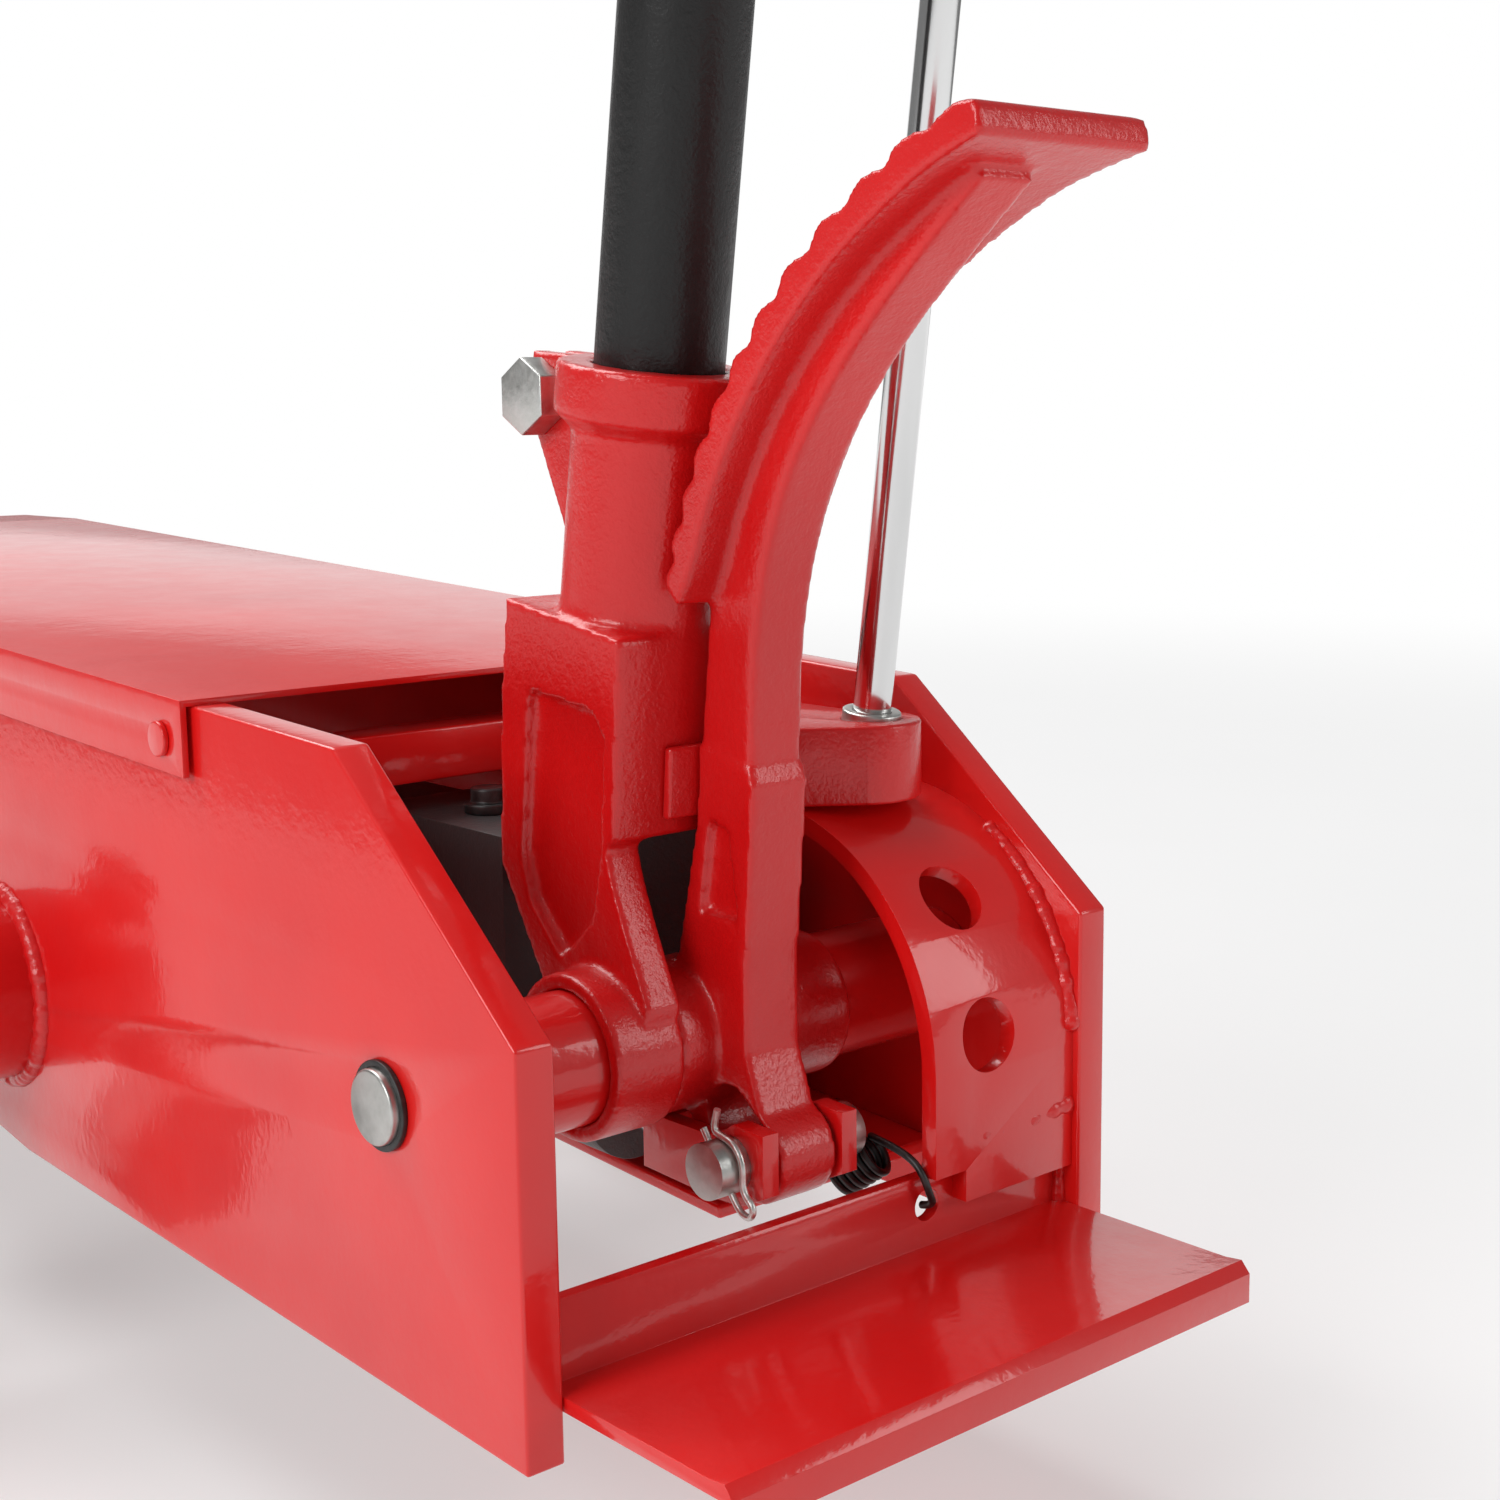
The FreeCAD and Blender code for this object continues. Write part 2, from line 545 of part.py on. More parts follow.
solids["handle_tube"] = tube.cut(handle_cyl(handle_r - 3.0, 163.0, handle_top))
grip = fuse(
    handle_cyl(19.5, handle_top - 150.0, handle_top),
    handle_cyl(23.0, handle_top - 153.0, handle_top - 147.0),
)
solids["handle_grip"] = grip.cut(handle_cyl(handle_r, handle_top - 160.0, handle_top - 3.0))
bolt_left = hex_prism_x(17.0, handle_x - 15.0, handle_x - 8.0, bolt_y, bolt_z)
bolt_shank = cyl(5.0, (handle_x - 8.0, bolt_y, bolt_z), (handle_x + 19.0, bolt_y, bolt_z))
solids["clamp_bolt"] = fuse(bolt_left, bolt_shank)
nut = hex_prism_x(17.0, handle_x + 8.0, handle_x + 16.0, bolt_y, bolt_z)
solids["clamp_nut"] = nut.cut(cyl(5.0, (handle_x, bolt_y, bolt_z), (handle_x + 30.0, bolt_y, bolt_z)))

# Foot pedal: curved tread on an off-centre web, hub round the pivot tube, lever to the pump clevis.
tread_x0 = -21.0
tread_x1 = 33.0
tread_top = [
    (-61.0, 286.5), (-45.0, 281.0), (-30.0, 273.0), (-16.0, 263.8), (-3.0, 253.0), (8.0, 241.5),
    (17.0, 230.0), (25.0, 217.5), (31.0, 205.5), (35.5, 193.5), (38.2, 184.0),
]
tread_low = [
    (35.0, 180.5), (29.5, 191.0), (25.0, 202.5), (19.0, 214.0), (11.5, 226.0), (3.0, 236.8),
    (-7.5, 247.8), (-19.8, 258.2), (-33.2, 267.0), (-47.2, 274.6), (-62.5, 280.3),
]
web_back = smooth_line([
    (22.5, 141.0), (21.8, 160.0), (20.0, 176.0), (15.8, 193.5), (7.6, 212.7), (-5.2, 231.0), (-20.0, 246.5),
    (-36.0, 260.5), (-52.0, 273.5),
], 4)
web_front = [
    (-47.0, 277.0), (-19.8, 261.0), (3.0, 239.5), (19.0, 216.5), (31.0, 196.0), (37.0, 181.5),
    (40.9, 148.0), (41.0, 143.0),
]
lever_outline = [
    (41.2, 146.5), (42.4, 128.0), (48.0, 104.0), (52.0, 88.0), (62.0, 72.0), (52.0, 55.5), (38.0, 41.0), (26.0, 33.6),
    (15.0, 37.0), (11.8, 45.0), (20.0, 57.0), (25.0, 71.0), (25.0, 92.0), (21.0, 138.0), (22.0, 141.5),
]
trim = prism_z([(tread_x1 + 1.0, -64.0), (tread_x1, -62.5), (25.5, -42.0), (21.5, -24.0), (19.6, -8.0), (19.6, 60.0),
                (tread_x1 + 1.0, 60.0)], 150.0, 320.0)
tread_face = scalloped(smooth_line(tread_top, 9), 12, 2.3)
tread = prism_x(tread_face + smooth_line(tread_low, 4), tread_x0, tread_x1).cut(trim)
pedal = fuse(
    tread,
    prism_x(web_back + web_front, -9.5, 7.5),
    prism_x(lever_outline, -10.0, 8.0),
    cyl(19.4, (-22.0, shaft_y, shaft_z), (34.6, shaft_y, shaft_z)),
    cyl(11.6, (-10.0, clevis_pin_y + 0.4, clevis_pin_z - 0.6), (8.0, clevis_pin_y + 0.4, clevis_pin_z - 0.6)),
)
pedal = pedal.cut(cyl(tube_r + run_gap, (-30.0, shaft_y, shaft_z), (40.0, shaft_y, shaft_z)))
pocket_face = prism_x([(38.0, 128.0), (31.0, 126.0), (28.0, 104.0), (42.0, 104.0)], -11.0, -7.0)
pedal = pedal.cut(pocket_face)

# The pin runs in a slot in the lever, which takes up the arc of its end.
slot_angle = math.radians(218.6)
slot_w = clevis_pin_r + 1.1
slot_a = (shaft_y + 39.75 * math.cos(slot_angle), shaft_z + 39.75 * math.sin(slot_angle))
slot_b = (shaft_y + 27.6 * math.cos(slot_angle), shaft_z + 27.6 * math.sin(slot_angle))
side_y = -slot_w * math.sin(slot_angle)
side_z = slot_w * math.cos(slot_angle)
slot_box = prism_x([(slot_a[0] + side_y, slot_a[1] + side_z), (slot_b[0] + side_y, slot_b[1] + side_z),
                    (slot_b[0] - side_y, slot_b[1] - side_z), (slot_a[0] - side_y, slot_a[1] - side_z)], -12.0, 10.0)
pin_slot = fuse(slot_box, cyl(slot_w, (-12.0,) + slot_a, (10.0,) + slot_a),
                cyl(slot_w, (-12.0,) + slot_b, (10.0,) + slot_b))
solids["foot_pedal"] = pedal.cut(pin_slot)

# Pump clevis, plunger, pin and hairpin clip.
cheek = [(11.6, 39.5), (11.6, 55.2), (22.5, 55.6), (24.6, 54.2), (27.8, 52.4), (32.0, 50.9), (58.0, 50.5), (58.0, 36.0),
         (30.0, 35.0), (20.0, 35.5)]
clevis = fuse(
    prism_x(cheek, -16.5, -11.5),
    prism_x(cheek, 9.5, 14.5),
    box(-16.5, 14.5, 50.0, 58.0, 36.0, 50.5),
)
cross_bore = cyl(clevis_pin_r, (-30.0, clevis_pin_y, clevis_pin_z), (30.0, clevis_pin_y, clevis_pin_z))
clevis = clevis.cut(cross_bore)
solids["pump_clevis"] = clevis
solids["pump_plunger"] = fuse(
    cyl(5.0, (plunger_x, 58.0, clevis_pin_z), (plunger_x, 67.0, clevis_pin_z)),
    cyl(plunger_r, (plunger_x, 66.0, clevis_pin_z), (plunger_x, 122.0, clevis_pin_z)),
)
pin_body = cyl(clevis_pin_r, (-25.5, clevis_pin_y, clevis_pin_z), (22.0, clevis_pin_y, clevis_pin_z))
clip_x = -20.3


def clip_point(along, aside):
    return (clip_x, clevis_pin_y - 0.59 * along - 0.81 * aside, clevis_pin_z - 0.81 * along + 0.59 * aside)


clip_r = 0.9
pin_body = pin_body.cut(cyl(clip_r + 0.05, clip_point(-9.0, 0.0), clip_point(9.0, 0.0)))
solids["clevis_pin"] = pin_body
solids["r_clip"] = fuse(
    cyl(clip_r, clip_point(-10.3, 0.0), clip_point(14.0, 0.0)),
    cyl(clip_r, clip_point(-12.0, 8.2), clip_point(14.0, 8.2)),
    cyl(clip_r, clip_point(14.0, 0.0), clip_point(14.0, 8.2)),
)

# Return spring: closed coil with a hook on the clevis pin and a hook in the tail flange's hole.
coil_r = 5.2
wire_r = 1.0
coil_a = V(24.2, 28.5, 30.8)
coil_dir = V(0.35, -0.55, 0.45)
coil_dir.normalize()
coil_len = 12.6
coil_b = coil_a + coil_dir * coil_len
coil_bar = Part.makeCylinder(coil_r + wire_r, coil_len, coil_a, coil_dir)
coil_bore = Part.makeCylinder(coil_r - wire_r, coil_len, coil_a, coil_dir)


def wire_run(points):
    pieces = []
    for start, end in zip(points, points[1:]):
        pieces.append(cyl(wire_r, tuple(start), tuple(end)))
        pieces.append(Part.makeSphere(wire_r, end))
    return pieces


side = coil_dir.cross(V(1, 0, 0))
side.normalize()
eye_a = coil_a + side * coil_r + coil_dir
eye_b = coil_b + side * coil_r - coil_dir
hook_a = wire_run([V(23.6, 33.0, 44.0), V(24.0, 32.0, 38.0), V(25.0, 29.0, 31.0), eye_a])
hook_b = wire_run([
    eye_b, V(30.5, 11.0, 39.0), V(30.8, 4.6, 36.0), V(31.5, 4.4, 32.0), V(34.7, 4.6, 27.5), V(34.7, 9.0, 25.8),
])
solids["return_spring"] = fuse(coil_bar.cut(coil_bore), *hook_a, *hook_b)

everything = Part.makeCompound(list(solids.values()))
bounds = everything.BoundBox
shift = V(-bounds.Center.x, -bounds.Center.y, ground)
for node, shape in solids.items():
    moved = shape.copy()
    moved.translate(shift)
    moved.exportStep("parts/" + node + ".step")
print("nodes", len(solids), "shift", shift, "size", bounds.XLength, bounds.YLength, bounds.ZLength)
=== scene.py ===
import json
import math
import random

import bmesh
import bpy
from mathutils import Matrix, Vector

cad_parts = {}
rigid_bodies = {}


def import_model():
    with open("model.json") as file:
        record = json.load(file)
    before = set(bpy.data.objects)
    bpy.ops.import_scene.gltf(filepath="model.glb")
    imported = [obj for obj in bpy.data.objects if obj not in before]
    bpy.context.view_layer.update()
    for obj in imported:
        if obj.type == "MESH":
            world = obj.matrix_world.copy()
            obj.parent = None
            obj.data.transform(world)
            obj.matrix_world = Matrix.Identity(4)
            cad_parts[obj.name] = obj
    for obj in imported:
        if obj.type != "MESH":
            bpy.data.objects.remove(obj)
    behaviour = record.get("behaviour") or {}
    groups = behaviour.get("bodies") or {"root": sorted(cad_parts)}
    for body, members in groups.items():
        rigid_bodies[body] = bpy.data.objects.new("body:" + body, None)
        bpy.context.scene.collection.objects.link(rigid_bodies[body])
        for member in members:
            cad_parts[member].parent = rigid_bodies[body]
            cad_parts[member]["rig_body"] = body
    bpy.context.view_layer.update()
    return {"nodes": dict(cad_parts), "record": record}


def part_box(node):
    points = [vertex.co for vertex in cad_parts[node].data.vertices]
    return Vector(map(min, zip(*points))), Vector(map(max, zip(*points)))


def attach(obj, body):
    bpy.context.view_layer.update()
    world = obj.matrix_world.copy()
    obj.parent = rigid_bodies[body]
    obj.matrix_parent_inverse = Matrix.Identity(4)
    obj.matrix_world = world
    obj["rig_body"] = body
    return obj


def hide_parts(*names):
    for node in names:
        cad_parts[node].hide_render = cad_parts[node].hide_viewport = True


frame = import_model()
random.seed(7)

nodes = frame["nodes"]
slot_of = {part["node"]: part["material_slot"] for part in frame["record"]["subparts"]}

# Detail pieces are placed in millimetres from the pedal shaft, whose centre is (DATUM_Y, DATUM_Z).
MM_PER_M = 1000
DATUM_Y = 53.5
DATUM_Z = 71.0


def middle(node):
    low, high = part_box(node)
    return [(near + far) / 2 for near, far in zip(low, high)]


_, shaft_y, shaft_z = middle("pivot_cross_tube")


def at(x, y, z):
    return Vector((
        x / MM_PER_M,
        shaft_y + (y - DATUM_Y) / MM_PER_M,
        shaft_z + (z - DATUM_Z) / MM_PER_M,
    ))


def linked(name, data):
    thing = bpy.data.objects.new(name, data)
    bpy.context.scene.collection.objects.link(thing)
    return thing


# Camera, from its azimuth, elevation and roll.
AZIMUTH = math.radians(-40.81)
ELEVATION = math.radians(8.81)
ROLL = math.radians(-0.80)
forward = Vector((
    -math.sin(AZIMUTH) * math.cos(ELEVATION),
    math.cos(AZIMUTH) * math.cos(ELEVATION),
    -math.sin(ELEVATION),
))
level_right = Vector((math.cos(AZIMUTH), math.sin(AZIMUTH), 0.0))
level_up = level_right.cross(forward)
right = math.cos(ROLL) * level_right + math.sin(ROLL) * level_up
up = math.cos(ROLL) * level_up - math.sin(ROLL) * level_right
eye = at(-343.2, -363.4, 227.6)
camera_data = bpy.data.cameras.new("camera")
camera_data.lens = 52.056
camera_data.sensor_width = 36.0
camera_data.shift_x = 0.00133
camera_data.shift_y = -0.00467
camera_data.clip_start = 0.02
camera_data.clip_end = 60.0
camera = linked("camera", camera_data)
camera.matrix_world = Matrix((
    (right.x, up.x, -forward.x, eye.x),
    (right.y, up.y, -forward.y, eye.y),
    (right.z, up.z, -forward.z, eye.z),
    (0.0, 0.0, 0.0, 1.0),
))
bpy.context.scene.camera = camera


# Material helpers. Noise scales are in repeats per metre of the object's own space.
def new_material(name):
    material = bpy.data.materials.new(name)
    material.use_nodes = True
    tree = material.node_tree
    shader = next(n for n in tree.nodes if n.type == "BSDF_PRINCIPLED")
    coords = tree.nodes.new("ShaderNodeTexCoord").outputs["Object"]
    return material, tree, shader, coords


def noise(tree, coords, scale, detail, rough=0.55):
    texture = tree.nodes.new("ShaderNodeTexNoise")
    texture.inputs["Scale"].default_value = scale
    texture.inputs["Detail"].default_value = detail
    texture.inputs["Roughness"].default_value = rough
    tree.links.new(coords, texture.inputs["Vector"])
    return texture.outputs["Fac"]


def stretched(tree, coords, stretch):
    mapping = tree.nodes.new("ShaderNodeMapping")
    mapping.inputs["Scale"].default_value = stretch
    tree.links.new(coords, mapping.inputs["Vector"])
    return mapping.outputs["Vector"]


def ramp(tree, fac, stops, target):
    node = tree.nodes.new("ShaderNodeValToRGB")
    for element, (place, colour) in zip(node.color_ramp.elements, stops):
        element.position = place
        element.color = (*colour, 1.0)
    tree.links.new(fac, node.inputs["Fac"])
    tree.links.new(node.outputs["Color"], target)


def grey(value):
    return (value, value, value)


def bump_chain(tree, shader, layers):
    last = None
    for height, distance, strength in layers:
        node = tree.nodes.new("ShaderNodeBump")
        node.inputs["Strength"].default_value = strength
        node.inputs["Distance"].default_value = distance
        tree.links.new(height, node.inputs["Height"])
        if last:
            tree.links.new(last, node.inputs["Normal"])
        last = node.outputs["Normal"]
    tree.links.new(last, shader.inputs["Normal"])
    return last


def painted(name, tones, rough, peel, grain, coat):
    """Sprayed enamel: slow changes of tone and gloss, orange peel, and sand grain on castings."""
    material, tree, shader, coords = new_material(name)
    wide = noise(tree, coords, 9.0, 3.0)
    ramp(tree, wide, [(0.3, tones[0]), (0.7, tones[1])], shader.inputs["Base Color"])
    fine = noise(tree, coords, 60.0, 4.0)
    ramp(tree, fine, [(0.3, grey(rough[0])), (0.75, grey(rough[1]))], shader.inputs["Roughness"])
    shader.inputs["Specular IOR Level"].default_value = 0.3
    shader.inputs["Coat Weight"].default_value = coat
    shader.inputs["Coat Roughness"].default_value = 0.10
    layers = [
        (noise(tree, coords, 420.0, 2.0), 0.0006, peel),
        (noise(tree, coords, 90.0, 2.0), 0.002, peel * 0.5),
        (noise(tree, coords, 14.0, 1.0), 0.006, 0.06),
    ]
    if grain:
        layers.append((noise(tree, coords, 1100.0, 3.0), 0.0005, grain))
    normal = bump_chain(tree, shader, layers)
    tree.links.new(normal, shader.inputs["Coat Normal"])
    return material


def metal(name, tones, rough, scale, bump, metallic=1.0, stretch=None):
    """Bare or plated metal: mottled tone and gloss over a fine turned or drawn surface."""
    material, tree, shader, coords = new_material(name)
    if stretch:
        coords = stretched(tree, coords, stretch)
    mottle = noise(tree, coords, scale, 4.0, 0.6)
    ramp(tree, mottle, [(0.3, tones[0]), (0.7, tones[1])], shader.inputs["Base Color"])
    ramp(tree, mottle, [(0.3, grey(rough[0])), (0.7, grey(rough[1]))], shader.inputs["Roughness"])
    shader.inputs["Metallic"].default_value = metallic
    bump_chain(tree, shader, [(noise(tree, coords, scale * 4, 3.0, 0.6), 0.0004, bump)])
    return material


DEEP_RED, RED = (0.64, 0.004, 0.005), (0.76, 0.010, 0.008)
DEEP_CAST_RED, CAST_RED = (0.58, 0.004, 0.005), (0.72, 0.008, 0.008)
DULL_ZINC, ZINC = (0.56, 0.56, 0.53), (0.72, 0.72, 0.70)
DULL_STEEL, STEEL = (0.42, 0.42, 0.40), (0.56, 0.56, 0.54)
DULL_CHROME, CHROME = grey(0.66), grey(0.80)
ALONG_ROD = (1.0, 1.0, 0.15)
materials = {
    "red_paint": painted(
        "red_enamel", (DEEP_RED, RED), rough=(0.30, 0.42), peel=0.10, grain=0.0, coat=0.85
    ),
    "cast_red": painted(
        "cast_enamel", (DEEP_CAST_RED, CAST_RED), rough=(0.32, 0.48), peel=0.28, grain=0.26, coat=0.6
    ),
    "black_coat": painted(
        "black_powder", (grey(0.006), grey(0.011)), rough=(0.38, 0.50), peel=0.30, grain=0.30, coat=0.10
    ),
    "chrome": metal(
        "hard_chrome", (DULL_CHROME, CHROME), rough=(0.10, 0.20), scale=30.0, bump=0.05, stretch=ALONG_ROD
    ),
    "zinc": metal("zinc_plate", (DULL_ZINC, ZINC), rough=(0.30, 0.46), scale=260.0, bump=0.15),
    "bare_steel": metal("turned_steel", (DULL_STEEL, STEEL), rough=(0.30, 0.44), scale=220.0, bump=0.12),
    # dark_steel also colours the filler plug under the cover; there its darkness is painted shade for the
    # unlit inside of the frame.
    "dark_steel": metal(
        "black_oxide_and_painted_shade", (grey(0.035), grey(0.075)), rough=(0.32, 0.48), scale=240.0, bump=0.15, metallic=0.8
    ),
    # wheel_iron also colours the pump block, reservoir and lift cylinder under the cover; there its
    # darkness is painted shade for the unlit inside of the frame.
    "wheel_iron": painted(
        "iron_enamel_and_painted_shade", (grey(0.045), grey(0.075)), rough=(0.38, 0.5), peel=0.25, grain=0.3, coat=0.1
    ),
    "grip_rubber": painted(
        "moulded_rubber", (grey(0.014), grey(0.024)), rough=(0.6, 0.75), peel=0.2, grain=0.4, coat=0.0
    ),
}


# Piece helpers. Edges sharper than BREAK_ANGLE get a bevel; shading stays crisp past CREASE_ANGLE.
BREAK_ANGLE = math.radians(28.0)
CREASE_ANGLE = math.radians(32.0)
CASTING_VOXEL = 0.0011
RIPPLE = 0.0022


def finish_piece(piece, body, slot, *stands_for):
    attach(piece, body)
    piece.data.materials.clear()
    piece.data.materials.append(materials[slot])
    if stands_for:
        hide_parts(*stands_for)


def stand_in(piece, node):
    finish_piece(piece, nodes[node]["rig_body"], slot_of[node], node)


def copy_of(node):
    """A copy of the node's mesh with its flat faces whole, ready for bevels or a remesh."""
    mesh = nodes[node].data.copy()
    work = bmesh.new()
    work.from_mesh(mesh)
    bmesh.ops.remove_doubles(work, verts=work.verts, dist=1e-5)
    bmesh.ops.dissolve_limit(
        work,
        angle_limit=math.radians(0.5),
        verts=work.verts,
        edges=work.edges,
        use_dissolve_boundaries=False,
    )
    work.to_mesh(mesh)
    work.free()
    return linked(node + "_finish", mesh)


def apply_modifiers(piece):
    graph = bpy.context.evaluated_depsgraph_get()
    mesh = bpy.data.meshes.new_from_object(piece.evaluated_get(graph))
    piece.modifiers.clear()
    piece.data = mesh


def shade_smooth(mesh):
    for face in mesh.polygons:
        face.use_smooth = True


def melt(piece, voxel, rounds):
    """Adds a voxel remesh and a smoothing, which round every edge and fillet every corner."""
    remesh = piece.modifiers.new("remesh", "REMESH")
    remesh.mode = "VOXEL"
    remesh.voxel_size = voxel
    smooth = piece.modifiers.new("smooth", "SMOOTH")
    smooth.factor = 0.5
    smooth.iterations = rounds


def bevelled(node, width):
    piece = copy_of(node)
    bevel = piece.modifiers.new("edge", "BEVEL")
    bevel.width = width
    bevel.segments = 3
    bevel.limit_method = "ANGLE"
    bevel.angle_limit = BREAK_ANGLE
    bevel.use_clamp_overlap = True
    bevel.miter_outer = "MITER_ARC"
    apply_modifiers(piece)
    shade_smooth(piece.data)
    piece.data.set_sharp_from_angle(angle=CREASE_ANGLE)
    stand_in(piece, node)


def cast(node):
    piece = copy_of(node)
    melt(piece, voxel=CASTING_VOXEL, rounds=5)
    thin = piece.modifiers.new("thin", "DECIMATE")
    thin.ratio = 0.4
    apply_modifiers(piece)
    shade_smooth(piece.data)
    stand_in(piece, node)


def wire(name, points, radius, node):
    """A round wire along one smooth line, in place of the node."""
    data = bpy.data.curves.new(name, "CURVE")
    data.dimensions = "3D"
    data.bevel_depth = radius
    data.bevel_resolution = 5
    data.resolution_u = 6
    data.use_fill_caps = True
    spline = data.splines.new("NURBS")
    spline.points.add(len(points) - 1)
    for point, place in zip(spline.points, points):
        point.co = (*place, 1.0)
    spline.order_u = 3
    spline.use_endpoint_u = True
    curve = linked(name + "_line", data)
    graph = bpy.context.evaluated_depsgraph_get()
    mesh = bpy.data.meshes.new_from_object(curve.evaluated_get(graph))
    bpy.data.objects.remove(curve)
    shade_smooth(mesh)
    stand_in(linked(name, mesh), node)


def weld(name, path, radius):
    """A bead of overlapping ripples along a seam, in metres, melted into one skin."""
    work = bmesh.new()
    for start, end in zip(path, path[1:]):
        count = max(1, round((end - start).length / RIPPLE))
        for i in range(count):
            spot = start.lerp(end, (i + random.uniform(0.2, 0.8)) / count)
            size = radius * random.uniform(0.82, 1.12)
            made = bmesh.ops.create_icosphere(work, subdivisions=2, radius=size)
            for v in made["verts"]:
                v.co += spot
    mesh = bpy.data.meshes.new(name)
    work.to_mesh(mesh)
    work.free()
    piece = linked(name, mesh)
    melt(piece, voxel=radius * 0.22, rounds=3)
    apply_modifiers(piece)
    shade_smooth(piece.data)
    finish_piece(piece, "frame", "cast_red")


# Plates, shafts, tubes, wheels and fasteners: the CAD shape with its edges broken, widths in metres.
bevel_widths = {
    "side_plate_left": 0.0009, "side_plate_right": 0.0009, "top_cover": 0.0005, "cover_screws": 0.0004,
    "rear_cross_bar": 0.0008, "tail_plate": 0.0012, "arc_guard": 0.0008, "pivot_cross_tube": 0.0008,
    "pivot_pin": 0.0007, "pin_rings": 0.0003, "power_unit_base": 0.0010, "pump_block": 0.0012,
    "reservoir": 0.0012, "lift_cylinder": 0.0010, "filler_plug": 0.0006, "release_valve_arm": 0.0014,
    "valve_gland": 0.0006, "outrigger_tube_left": 0.0008, "outrigger_tube_right": 0.0008,
    "caster_sleeve_left": 0.0010, "caster_sleeve_right": 0.0010, "front_axle": 0.0010,
    "axle_collars": 0.0008, "front_ties": 0.0008, "lift_pivot_shaft": 0.0010, "rod_stub_pins": 0.0008,
    "handle_tube": 0.0006, "handle_grip": 0.0020, "clamp_bolt": 0.0007, "clamp_nut": 0.0007,
    "pump_clevis": 0.0008, "pump_plunger": 0.0006, "clevis_pin": 0.0008, "release_rod": 0.0005,
    "release_knob": 0.0015, "ram_rod": 0.0006, "ram_crosshead": 0.0012, "lift_arm_left": 0.0012,
    "lift_arm_right": 0.0012, "crank_pin": 0.0008, "yoke_pin": 0.0008, "arm_tie_tube": 0.0008,
    "radius_rod_left": 0.0008, "radius_rod_right": 0.0008, "rod_pin": 0.0008, "saddle_yoke": 0.0018,
    "saddle_cup": 0.0018, "front_wheel_left": 0.0020, "front_wheel_right": 0.0020,
    "caster_fork_left": 0.0010, "caster_fork_right": 0.0010, "caster_axle_left": 0.0006,
    "caster_axle_right": 0.0006, "caster_wheel_left": 0.0018, "caster_wheel_right": 0.0018,
    "contact_pad": 0.0010,
}
for name, width in bevel_widths.items():
    bevelled(name, width)

# Sand castings.
cast("foot_pedal")
cast("handle_socket")

# Return spring: close coil between a hook beside the clevis pin's end and a hook in the tail flange.
COIL_START = Vector((24.2, 28.5, 30.8))
COIL_AXIS = Vector((0.35, -0.55, 0.45)).normalized()
COIL_LENGTH = 12.6
COIL_RADIUS = 5.2
COIL_TURNS = 6.0
POINTS_PER_TURN = 12
side_a = COIL_AXIS.cross(Vector((1, 0, 0))).normalized()
side_b = COIL_AXIS.cross(side_a)
spring_points = [at(23.6, 33.0, 44.0), at(23.8, 32.4, 39.0), at(24.4, 30.0, 34.0)]
steps = int(COIL_TURNS * POINTS_PER_TURN)
for i in range(steps + 1):
    turn = 2 * math.pi * COIL_TURNS * i / steps
    place = COIL_START + COIL_AXIS * (COIL_LENGTH * i / steps)
    place += (side_a * math.cos(turn) + side_b * math.sin(turn)) * COIL_RADIUS
    spring_points.append(at(*place))
spring_points += [
    at(30.5, 13.5, 40.5), at(30.8, 7.5, 38.5), at(31.2, 4.6, 35.0), at(32.4, 3.8, 30.5),
    at(34.7, 4.6, 26.8), at(34.7, 9.0, 25.8),
]
wire("return_spring_wire", spring_points, radius=0.0010, node="return_spring")

# Hairpin clip: straight leg through the pin, waved leg over it, open tips at the top.
_, pin_y, pin_z = middle("clevis_pin")
clip_x = middle("r_clip")[0]
LEAN_Y = 0.59
LEAN_Z = 0.81


def clip_at(along, aside):
    return Vector((
        clip_x,
        pin_y + (-LEAN_Y * along - LEAN_Z * aside) / MM_PER_M,
        pin_z + (-LEAN_Z * along + LEAN_Y * aside) / MM_PER_M,
    ))


clip_path = [
    (-10.3, 0.0), (-6.0, 0.0), (0.0, 0.0), (8.0, 0.0), (12.0, 0.4), (14.2, 2.2), (14.2, 4.4), (12.2, 5.6),
    (9.6, 4.6), (7.0, 5.0), (3.6, 7.8), (0.0, 8.8), (-3.6, 7.8), (-6.4, 4.8), (-8.2, 3.6), (-10.0, 5.0),
    (-12.0, 7.8),
]
clip_points = [clip_at(along, aside) for along, aside in clip_path]
wire("hairpin_clip", clip_points, radius=0.0009, node="r_clip")


# Weld beads: round each outrigger, along the guard's foot and side, and at the tail flange's ends.
def ring(centre, radius):
    count = 40
    turns = [2 * math.pi * i / count for i in range(count + 1)]
    return [centre + Vector((0, math.cos(turn), math.sin(turn))) * radius for turn in turns]


RING_GAP = 0.0006
plate_x = abs(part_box("side_plate_left")[0][0])
for side, name in ((-1, "outrigger_tube_left"), (1, "outrigger_tube_right")):
    low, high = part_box(name)
    _, tube_y, tube_z = middle(name)
    ring_radius = (high[2] - low[2]) / 2 + RING_GAP
    weld(f"weld_{name}", ring(Vector((side * plate_x, tube_y, tube_z)), ring_radius), radius=0.0034)

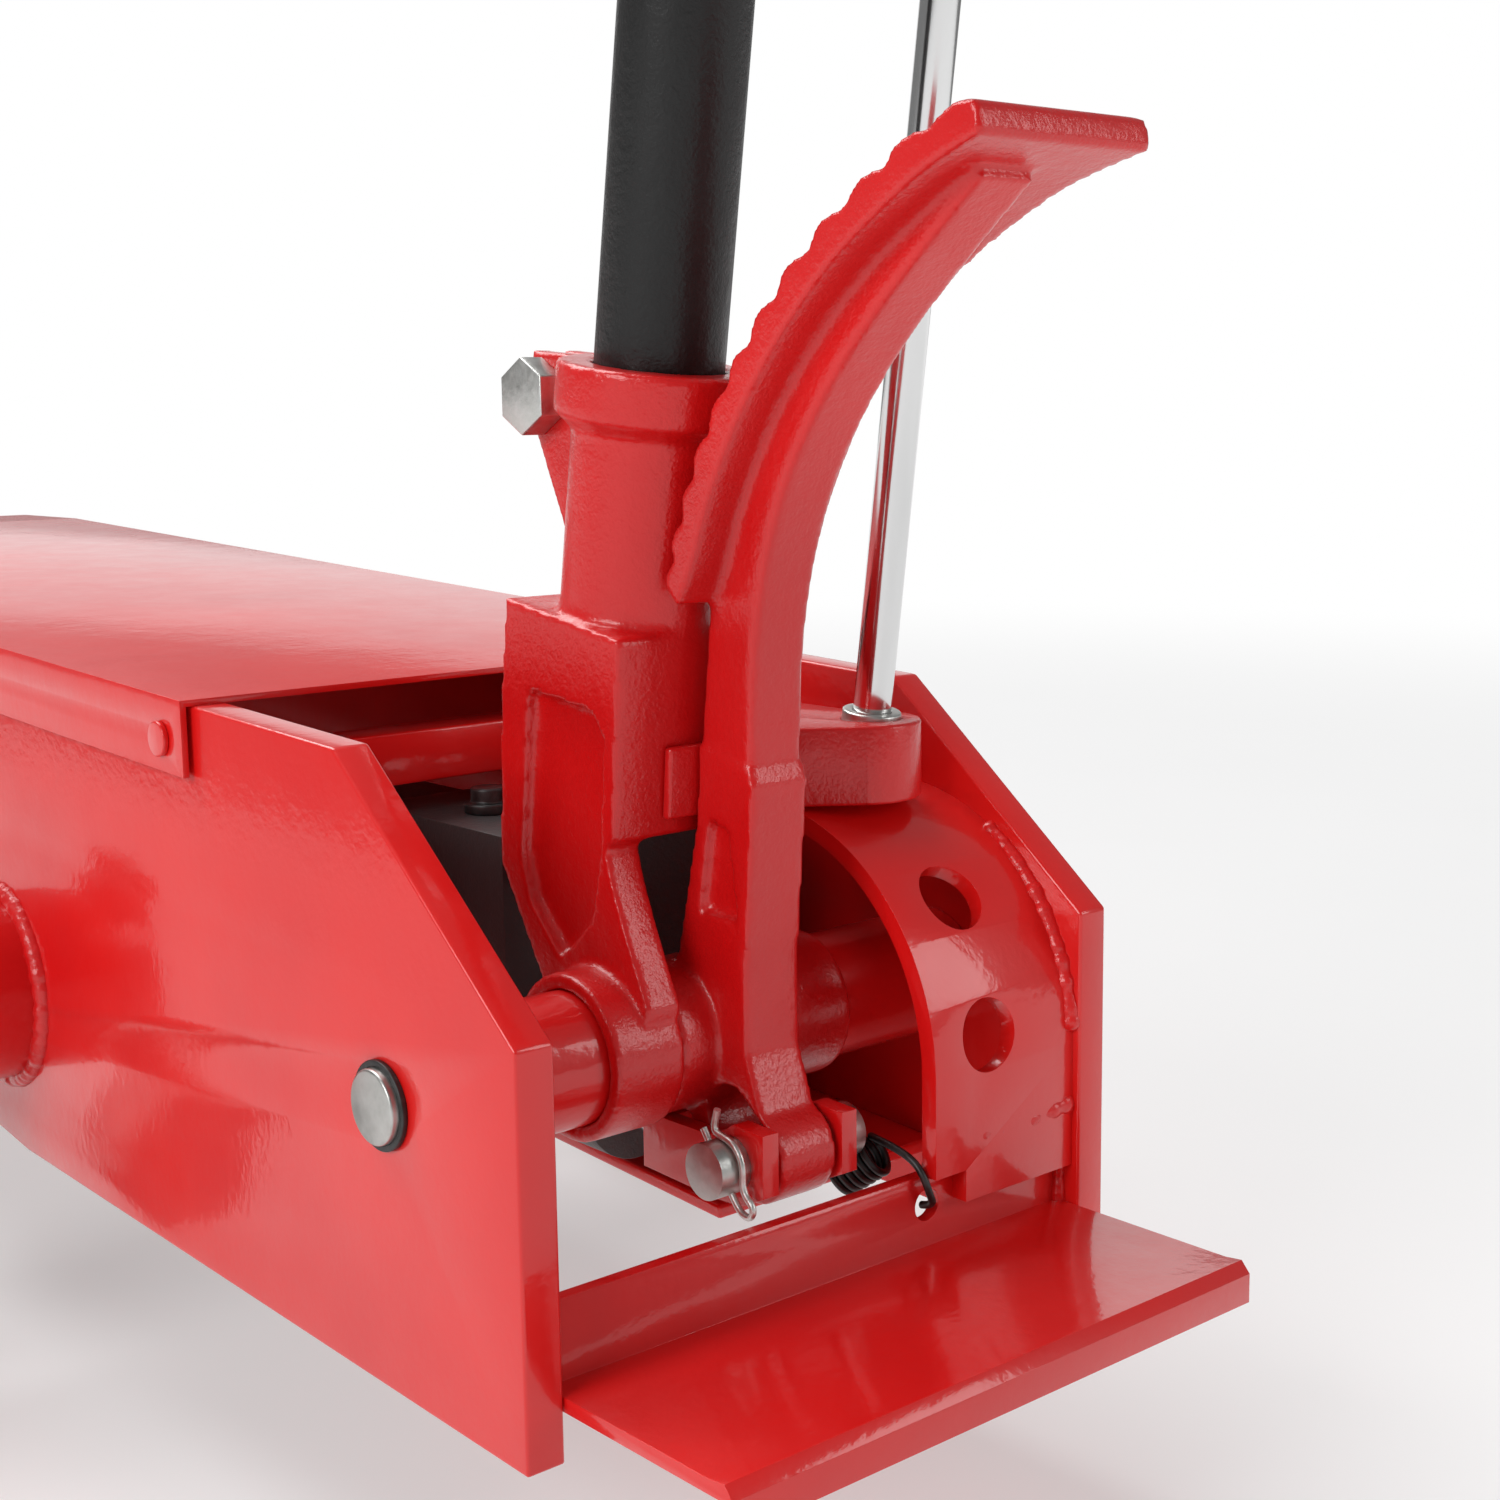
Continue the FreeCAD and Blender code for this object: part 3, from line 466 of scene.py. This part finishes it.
GUARD_Y = 65.8
GUARD_Z = 60
SEAM_RADIUS = 63.0
seam_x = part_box("side_plate_right")[0][0] * MM_PER_M - 0.3
weld("weld_guard_foot", [at(35.0, 6.4, 36.0), at(60.0, 5.8, 37.4), at(83.0, 6.2, 36.4)], radius=0.0034)
weld("weld_guard_cross", [at(50.0, 4.6, 42.0), at(64.0, 5.0, 41.0), at(84.0, 4.4, 43.0)], radius=0.0032)
guard_seam = []
for angle in range(4, 60, 5):
    turn = math.radians(angle)
    seam_y = GUARD_Y - SEAM_RADIUS * math.cos(turn)
    seam_z = GUARD_Z + SEAM_RADIUS * math.sin(turn)
    guard_seam.append(at(seam_x, seam_y, seam_z))
weld("weld_guard_side", guard_seam, radius=0.0030)
weld("weld_flange_left", [at(-84.6, 6.6, 12.0), at(-84.6, 6.6, 33.0)], radius=0.0022)
weld("weld_flange_right", [at(84.6, 6.6, 12.0), at(84.6, 6.6, 33.0)], radius=0.0022)

# Floor: pale, and fading into the white backdrop with distance.
floor_mesh = bpy.data.meshes.new("floor")
work = bmesh.new()
bmesh.ops.create_circle(work, cap_ends=True, radius=14.0, segments=96)
work.to_mesh(floor_mesh)
work.free()
floor = linked("floor", floor_mesh)
floor_material, tree, shader, coords = new_material("studio_floor")
patches = noise(tree, coords, 3.0, 3.0)
ramp(tree, patches, [(0.3, grey(0.86)), (0.7, grey(0.88))], shader.inputs["Base Color"])
shader.inputs["Roughness"].default_value = 0.9
shader.inputs["Specular IOR Level"].default_value = 0.1
reach = tree.nodes.new("ShaderNodeVectorMath")
reach.operation = "LENGTH"
tree.links.new(coords, reach.inputs[0])
fade = tree.nodes.new("ShaderNodeMapRange")
fade.interpolation_type = "SMOOTHSTEP"
fade.inputs["From Min"].default_value = 0.5
fade.inputs["From Max"].default_value = 2.4
fade.inputs["To Min"].default_value = 0.4
tree.links.new(reach.outputs["Value"], fade.inputs["Value"])
glow = tree.nodes.new("ShaderNodeEmission")
mix = tree.nodes.new("ShaderNodeMixShader")
output = next(n for n in tree.nodes if n.type == "OUTPUT_MATERIAL")
tree.links.new(fade.outputs["Result"], mix.inputs["Fac"])
tree.links.new(shader.outputs["BSDF"], mix.inputs[1])
tree.links.new(glow.outputs["Emission"], mix.inputs[2])
tree.links.new(mix.outputs["Shader"], output.inputs["Surface"])
floor.data.materials.append(floor_material)


# Four soft boxes aimed at the rear end; places and sizes in metres, power in watts.
def softbox(name, place, size, power):
    data = bpy.data.lights.new(name, "AREA")
    data.shape = "RECTANGLE"
    data.size, data.size_y = size
    data.energy = power
    lamp = linked(name, data)
    lamp.location = place
    aim = at(0, 60, 120)
    lamp.rotation_euler = (aim - Vector(place)).to_track_quat("-Z", "Y").to_euler()


softbox("key", place=(-2.3, -0.9, 1.3), size=(1.4, 1.2), power=34.0)
softbox("top", place=(-0.2, 0.7, 2.2), size=(1.8, 1.8), power=50.0)
softbox("fill", place=(1.3, -2.3, 1.0), size=(0.7, 1.1), power=9.0)
softbox("rim", place=(2.0, 1.9, 0.95), size=(3.0, 1.1), power=7.0)

# White backdrop, with a dimmer white room for the light that reaches the object.
world = bpy.data.worlds.new("studio")
bpy.context.scene.world = world
world.use_nodes = True
tree = world.node_tree
room = tree.nodes["Background"]
room.inputs["Strength"].default_value = 0.22
backdrop = tree.nodes.new("ShaderNodeBackground")
for background in (room, backdrop):
    background.inputs["Color"].default_value = (1.0, 1.0, 1.0, 1.0)
rays = tree.nodes.new("ShaderNodeLightPath")
choose = tree.nodes.new("ShaderNodeMixShader")
output = next(n for n in tree.nodes if n.type == "OUTPUT_WORLD")
tree.links.new(rays.outputs["Is Camera Ray"], choose.inputs["Fac"])
tree.links.new(room.outputs["Background"], choose.inputs[1])
tree.links.new(backdrop.outputs["Background"], choose.inputs[2])
tree.links.new(choose.outputs["Shader"], output.inputs["Surface"])
bpy.context.scene.view_settings.view_transform = "Standard"
